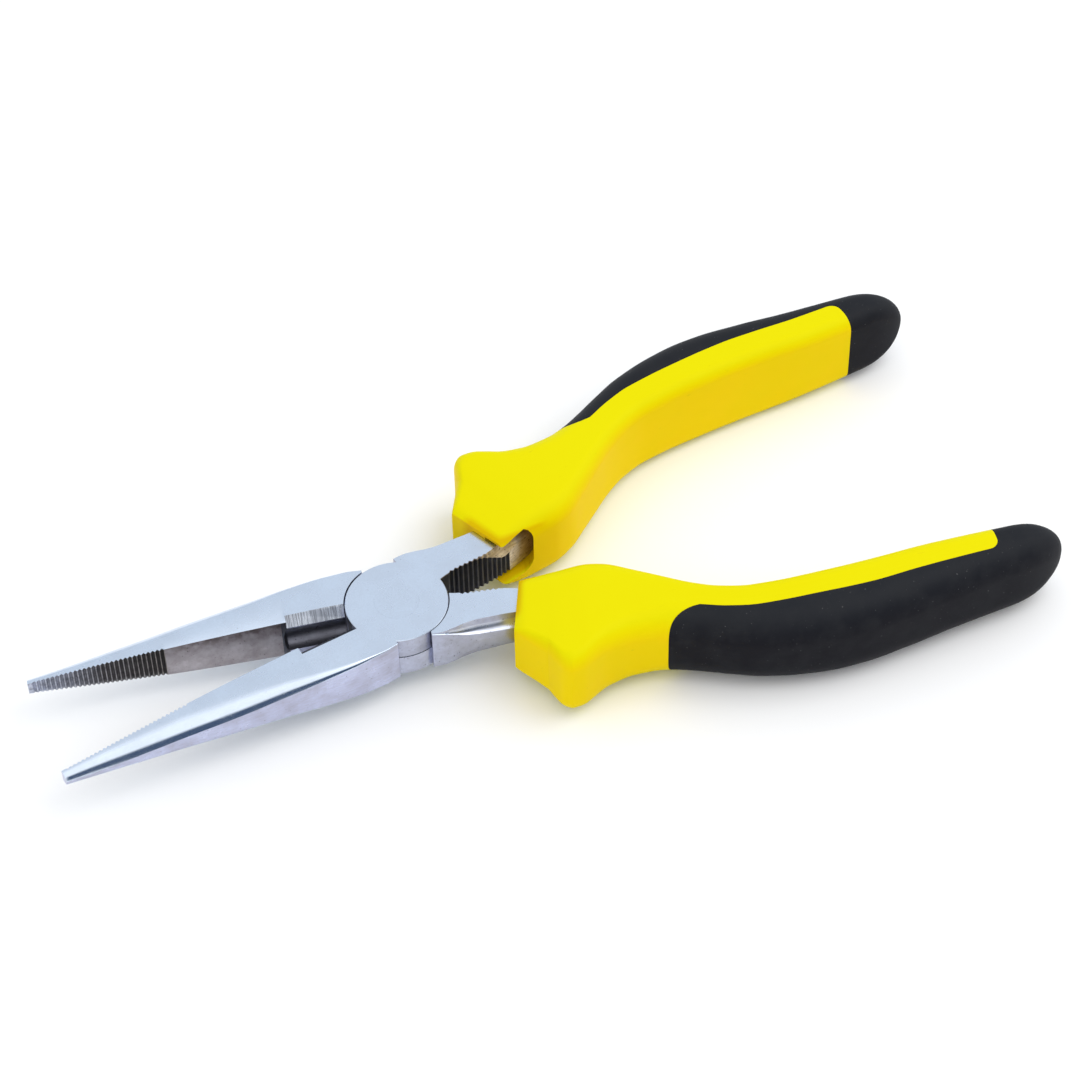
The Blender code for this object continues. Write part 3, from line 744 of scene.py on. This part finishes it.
def steel(name, tint, dark, rough, stretch, grain, lines, relief, pits, metallic):
    """Steel with stains, a directional grain and tiny dark pits; the inner and brown finishes darken towards
    the top in noisy patches.

    tint and dark are its colours, stretch and grain give the grain's run and scale, lines its strength,
    relief its height in millimetres and pits the noise level above which there is a pit.
    """
    material, tree, shader = new_material("steel_" + name)
    stain = levels(tree, noise(tree, millimetres(tree), 0.17, 5.0, 0.62), 0.38, 0.72)
    streak = noise(tree, millimetres(tree, stretch), grain, 3.0, 0.6)
    pit = levels(tree, noise(tree, millimetres(tree), 2.3, 3.0, 0.55), pits, pits + 0.05)
    color = blend_colors(tree, math_node(tree, "MULTIPLY", stain, 0.5), tint, dark)
    color = blend_colors(tree, levels(tree, streak, 0.3, 0.75, 0.0, lines), color, dark)
    if name in ("inner", "brown"):
        # Inner and brown finishes: darker towards the top, in noisy patches.
        height = add(tree, "ShaderNodeSeparateXYZ", Vector=drawn(tree)).outputs["Z"]
        top_darkening = levels(tree, noise(tree, millimetres(tree), 0.45, 5.0, 0.6), 0.36, 0.6)
        top_darkening = math_node(tree, "MULTIPLY", top_darkening, levels(tree, height, 0.6 * MM, 3.9 * MM))
        color = blend_colors(tree, math_node(tree, "MULTIPLY", top_darkening, 0.8), color, dark)
    color = blend_colors(tree, math_node(tree, "MULTIPLY", pit, 0.6), color, [c * 0.3 for c in dark])
    tree.links.new(color, shader.inputs["Base Color"])
    shader.inputs["Metallic"].default_value = metallic
    worn = math_node(tree, "ADD", levels(tree, stain, 0, 1, rough - 0.03, rough + 0.07),
                     math_node(tree, "MULTIPLY", pit, 0.25))
    tree.links.new(worn, shader.inputs["Roughness"])
    bump(tree, shader, math_node(tree, "SUBTRACT", streak, pit), 0.6, relief)
    return material


def toothed_steel(name, near_joint, middle, near_tip):
    """Front teeth, dark with grime towards the joint and worn brighter towards the tip."""
    material, tree, shader = new_material("steel_" + name)
    split = add(tree, "ShaderNodeSeparateXYZ", Vector=drawn(tree))
    toward_tip = levels(tree, split.outputs["X"], -TEETH_START * MM, -TIP * MM)
    color = ramp(tree, toward_tip, [(0.0, near_joint), (0.45, middle), (1.0, near_tip)])
    grime = levels(tree, noise(tree, millimetres(tree), 0.9, 5.0, 0.65), 0.4, 0.66)
    color = blend_colors(tree, math_node(tree, "MULTIPLY", grime, 0.55), color, (0.05, 0.045, 0.05))
    tree.links.new(color, shader.inputs["Base Color"])
    shader.inputs["Metallic"].default_value = 0.9
    tree.links.new(levels(tree, grime, 0, 1, 0.32, 0.6), shader.inputs["Roughness"])
    bump(tree, shader, noise(tree, millimetres(tree), 4.0), 0.5, 0.02)
    return material


def steel_finishes():
    """Every finish of a forging, by region."""
    rows = [
        ("flat", GROUND_TINT, GROUND_DARK, 0.26, FINE, 3.0, 0.25, 0.008, 0.70, 1.0),
        ("round", GROUND_TINT, GROUND_DARK, 0.15, LENGTHWISE, 2.2, 0.2, 0.004, 0.70, 1.0),
        ("side", (0.59, 0.63, 0.83), (0.28, 0.25, 0.28), 0.30, LENGTHWISE, 1.4, 0.32, 0.010, 0.67, 1.0),
        ("forged", (0.50, 0.53, 0.66), (0.24, 0.23, 0.28), 0.33, FINE, 1.0, 0.3, 0.015, 0.65, 1.0),
        ("scoop", (0.62, 0.66, 0.75), (0.36, 0.37, 0.43), 0.27, LENGTHWISE, 1.2, 0.3, 0.008, 0.67, 1.0),
        ("inner", (0.50, 0.47, 0.50), (0.15, 0.12, 0.12), 0.36, FINE, 0.8, 0.3, 0.02, 0.66, 0.95),
        ("brown", (0.86, 0.78, 0.71), (0.28, 0.22, 0.18), 0.40, LENGTHWISE, 1.0, 0.75, 0.03, 0.62, 0.9),
        ("cutter", (0.84, 0.90, 1.0), (0.13, 0.14, 0.17), 0.24, CROSS_GROUND, 1.6, 1.0, 0.025, 0.70, 1.0),
        ("hollow", (0.16, 0.165, 0.20), (0.05, 0.05, 0.06), 0.34, FINE, 1.0, 0.3, 0.02, 0.65, 0.9),
        ("pipe", (0.035, 0.034, 0.04), (0.015, 0.015, 0.018), 0.5, FINE, 2.0, 0.3, 0.02, 0.64, 0.7),
        ("pipe_crests", (0.18, 0.175, 0.18), (0.08, 0.075, 0.075), 0.36, FINE, 2.0, 0.4, 0.02, 0.64, 0.9),
    ]
    finishes = {row[0]: steel(*row) for row in rows}
    finishes["teeth"] = toothed_steel("teeth", (0.05, 0.046, 0.045), (0.10, 0.095, 0.10), (0.50, 0.53, 0.64))
    finishes["crests"] = toothed_steel("crests", (0.34, 0.31, 0.29), (0.40, 0.39, 0.42), (0.66, 0.70, 0.82))
    return finishes


def painted_shade_by_facing(tree, level_color, upright_color):
    """Painted shade: colour that turns from one to the other between level and upright surfaces."""
    normal = add(tree, "ShaderNodeNewGeometry").outputs["Normal"]
    up = add(tree, "ShaderNodeSeparateXYZ", Vector=normal).outputs["Z"]
    level = levels(tree, math_node(tree, "ABSOLUTE", up), 0.15, 0.8)
    return blend_colors(tree, level, upright_color, level_color)


def hard_plastic():
    """Yellow moulded plastic with scuffs, painted shade that makes its upright sides more golden, and an
    orange-brown tint in the opening that is partly grime and partly painted shade.
    """
    material, tree, shader = new_material("hard_grip_plastic")
    tone = levels(tree, noise(tree, millimetres(tree), 0.09, 3.0), 0.3, 0.7)
    # Painted shade: upright faces get a darker, more golden yellow than level ones.
    color = painted_shade_by_facing(tree, (0.755, 0.685, 0.0), (0.88, 0.635, 0.0))
    color = blend_colors(tree, math_node(tree, "MULTIPLY", tone, 0.3), color, (0.76, 0.65, 0.0))
    marks = levels(tree, noise(tree, millimetres(tree, (0.4, 1.6, 1)), 1.1, 4.0), 0.69, 0.74)
    color = blend_colors(tree, math_node(tree, "MULTIPLY", marks, 0.3), color, (0.60, 0.50, 0.005))
    # Orange-brown tint in the opening round the tang, behind the lip: partly grime and partly painted shade
    # in the recess.
    split = add(tree, "ShaderNodeSeparateXYZ", Vector=drawn(tree))
    depth = math_node(tree, "ABSOLUTE", split.outputs["Y"])
    height = math_node(tree, "ABSOLUTE", split.outputs["Z"])
    behind_lip = levels(tree, depth, 0.5 * MM, 1.4 * MM)
    before_side = levels(tree, depth, 11 * MM, 9 * MM)
    grime = math_node(tree, "MULTIPLY", behind_lip, before_side)
    grime = math_node(tree, "MULTIPLY", grime, levels(tree, split.outputs["X"], 35 * MM, 33 * MM))
    grime = math_node(tree, "MULTIPLY", grime, levels(tree, height, 6.6 * MM, 6.0 * MM))
    color = blend_colors(tree, math_node(tree, "MULTIPLY", grime, 0.6), color, (0.66, 0.33, 0.0))
    tree.links.new(color, shader.inputs["Base Color"])
    tree.links.new(levels(tree, tone, 0, 1, 0.44, 0.54), shader.inputs["Roughness"])
    shader.inputs["Specular IOR Level"].default_value = 0.04
    bump(tree, shader, noise(tree, millimetres(tree), 3.0, 2.0), 0.3, 0.02)
    return material


def soft_rubber():
    """Black moulded rubber, matte, with dust, pale specks, a fine pebbled texture and painted shade on its
    darker upright sides.
    """
    material, tree, shader = new_material("soft_grip_rubber")
    dust = levels(tree, noise(tree, millimetres(tree), 0.2, 5.0, 0.62), 0.42, 0.75)
    # Painted shade: upright faces are coloured darker than level ones.
    color = painted_shade_by_facing(tree, (0.012, 0.0135, 0.0175), (0.003, 0.003, 0.0065))
    color = blend_colors(tree, math_node(tree, "MULTIPLY", dust, 0.6), color, (0.022, 0.023, 0.026))
    specks = levels(tree, noise(tree, millimetres(tree), 2.2, 1.0), 0.75, 0.78)
    color = blend_colors(tree, math_node(tree, "MULTIPLY", specks, 0.5), color, (0.12, 0.12, 0.12))
    tree.links.new(color, shader.inputs["Base Color"])
    tree.links.new(levels(tree, dust, 0, 1, 0.55, 0.7), shader.inputs["Roughness"])
    shader.inputs["Specular IOR Level"].default_value = 0.12
    bump(tree, shader, noise(tree, millimetres(tree), 2.4, 3.0), 0.4, 0.03)
    return material


# ---------------------------------------------------------------- stage

# Camera, light and floor, with lengths in metres and the camera's lens in millimetres
CAMERA_AZIMUTH = math.radians(21.328)
CAMERA_ELEVATION = math.radians(48.654)
CAMERA_ROLL = math.radians(1.479)
CAMERA_DISTANCE = 0.605821
CAMERA_LENS = 104.98
# where the pivot lies beside the line of sight, rightwards and upwards
PIVOT_RIGHT = -0.027346
PIVOT_UP = -0.014913
WORLD_STRENGTH = 0.95
KEY_SPOT = (0.45, -0.15, 0.75)
KEY_SIZE = 0.6
KEY_WATTS = 2.0
FLOOR_HALF = 3.0
FLOOR_DROP = 0.0004         # room between the grips and the floor


def add_camera():
    """Camera at the viewing angle, aimed so that the pivot lies left of and below the centre."""
    sin_a, cos_a = math.sin(CAMERA_AZIMUTH), math.cos(CAMERA_AZIMUTH)
    sin_e, cos_e = math.sin(CAMERA_ELEVATION), math.cos(CAMERA_ELEVATION)
    level_right = Vector((cos_a, -sin_a, 0))
    level_up = Vector((sin_a * sin_e, cos_a * sin_e, cos_e))
    look = Vector((sin_a * cos_e, cos_a * cos_e, -sin_e))
    right = level_right * math.cos(CAMERA_ROLL) - level_up * math.sin(CAMERA_ROLL)
    up = level_right * math.sin(CAMERA_ROLL) + level_up * math.cos(CAMERA_ROLL)
    spot = PIVOT - right * PIVOT_RIGHT - up * PIVOT_UP - look * CAMERA_DISTANCE
    data = bpy.data.cameras.new("camera")
    data.lens = CAMERA_LENS
    data.sensor_width = 36
    data.clip_start = 0.01
    camera = bpy.data.objects.new("camera", data)
    camera.matrix_world = Matrix((
        (right.x, up.x, -look.x, spot.x),
        (right.y, up.y, -look.y, spot.y),
        (right.z, up.z, -look.z, spot.z),
        (0, 0, 0, 1),
    ))
    bpy.context.scene.collection.objects.link(camera)
    bpy.context.scene.camera = camera


def add_world():
    """Pale surroundings, dimmer to the left, with a dark flag low in front, which the steel mirrors."""
    world = bpy.data.worlds.new("studio")
    world.use_nodes = True
    bpy.context.scene.world = world
    tree = world.node_tree
    direction = add(tree, "ShaderNodeTexCoord").outputs["Generated"]
    split = add(tree, "ShaderNodeSeparateXYZ", Vector=direction)
    back = levels(tree, split.outputs["Y"], -0.1, 0.6)
    sky = blend_colors(tree, back, (1.35, 1.35, 1.35), (0.84, 0.89, 0.95))
    left = levels(tree, split.outputs["X"], -0.1, -0.9, 0.0, 0.35)
    sky = blend_colors(tree, left, sky, (0.45, 0.46, 0.50))
    forward = math_node(tree, "MULTIPLY", split.outputs["Y"], -1.0)
    azimuth = math_node(tree, "ARCTAN2", split.outputs["X"], forward)
    flag = math_node(tree, "MULTIPLY", levels(tree, azimuth, -0.32, -0.08), levels(tree, azimuth, 1.15, 0.85))
    flag = math_node(tree, "MULTIPLY", flag, levels(tree, split.outputs["Z"], 0.66, 0.50))
    color = blend_colors(tree, flag, sky, (0.08, 0.115, 0.185))
    background = tree.nodes["Background"]
    tree.links.new(color, background.inputs["Color"])
    background.inputs["Strength"].default_value = WORLD_STRENGTH


def add_light(name, spot, aim, size, watts):
    """Soft square area light."""
    data = bpy.data.lights.new(name, "AREA")
    data.size = size
    data.energy = watts
    light = bpy.data.objects.new(name, data)
    light.location = spot
    light.rotation_euler = (Vector(aim) - Vector(spot)).to_track_quat("-Z", "Y").to_euler()
    bpy.context.scene.collection.objects.link(light)


def add_floor():
    """Pale floor just under the grips."""
    bm = bmesh.new()
    bmesh.ops.create_grid(bm, x_segments=1, y_segments=1, size=FLOOR_HALF)
    mesh = bpy.data.meshes.new("floor")
    bm.to_mesh(mesh)
    bm.free()
    floor = bpy.data.objects.new("floor", mesh)
    floor.location.z = cad_box[0][2] - FLOOR_DROP
    material, tree, shader = new_material("floor_paint")
    tone = noise(tree, add(tree, "ShaderNodeTexCoord").outputs["Object"], 2.0, 2.0)
    tree.links.new(ramp(tree, tone, [(0.0, (0.93, 0.93, 0.93)), (1.0, (0.95, 0.95, 0.95))]),
                   shader.inputs["Base Color"])
    shader.inputs["Roughness"].default_value = 0.9
    shader.inputs["Specular IOR Level"].default_value = 0.04
    mesh.materials.append(material)
    bpy.context.scene.collection.objects.link(floor)


# ---------------------------------------------------------------- pliers

def build():
    """Both halves, each opened by half the rest angle."""
    steels = steel_finishes()
    yellow = hard_plastic()
    black = soft_rubber()
    for side, mirror, lap, body in (("upper", 1, 1, "upper_half"), ("lower", -1, -1, "lower_half")):
        half = forging(mirror, lap)
        finish_forging(half, mirror, steels)
        place(half, f"fine_jaw_half_{side}", mirror, body, f"jaw_half_{side}")
        grip = hard_grip(mirror)
        grip.data.materials.append(yellow)
        place(grip, f"fine_grip_{side}", mirror, body, f"grip_{side}")
        panel = soft_panel(mirror)
        panel.data.materials.append(black)
        place(panel, f"fine_grip_{side}_soft_panel", mirror, body, f"grip_{side}_soft_panel")
    rivet = new_object("rivet", turned(rivet_profile(0.0), RIVET_SIDES))
    clean(rivet, 28)
    ground = steel("rivet", GROUND_TINT, GROUND_DARK, 0.26, FINE, 3.0, 0.35, 0.012, 0.70, 1.0)
    rivet.data.materials.append(ground)
    place(rivet, "fine_pivot_rivet", 1, "upper_half", "pivot_rivet")


add_camera()
add_world()
add_light("key", KEY_SPOT, (0, 0, 0), KEY_SIZE, KEY_WATTS)
add_floor()
build()
bpy.context.scene.view_settings.view_transform = "Standard"
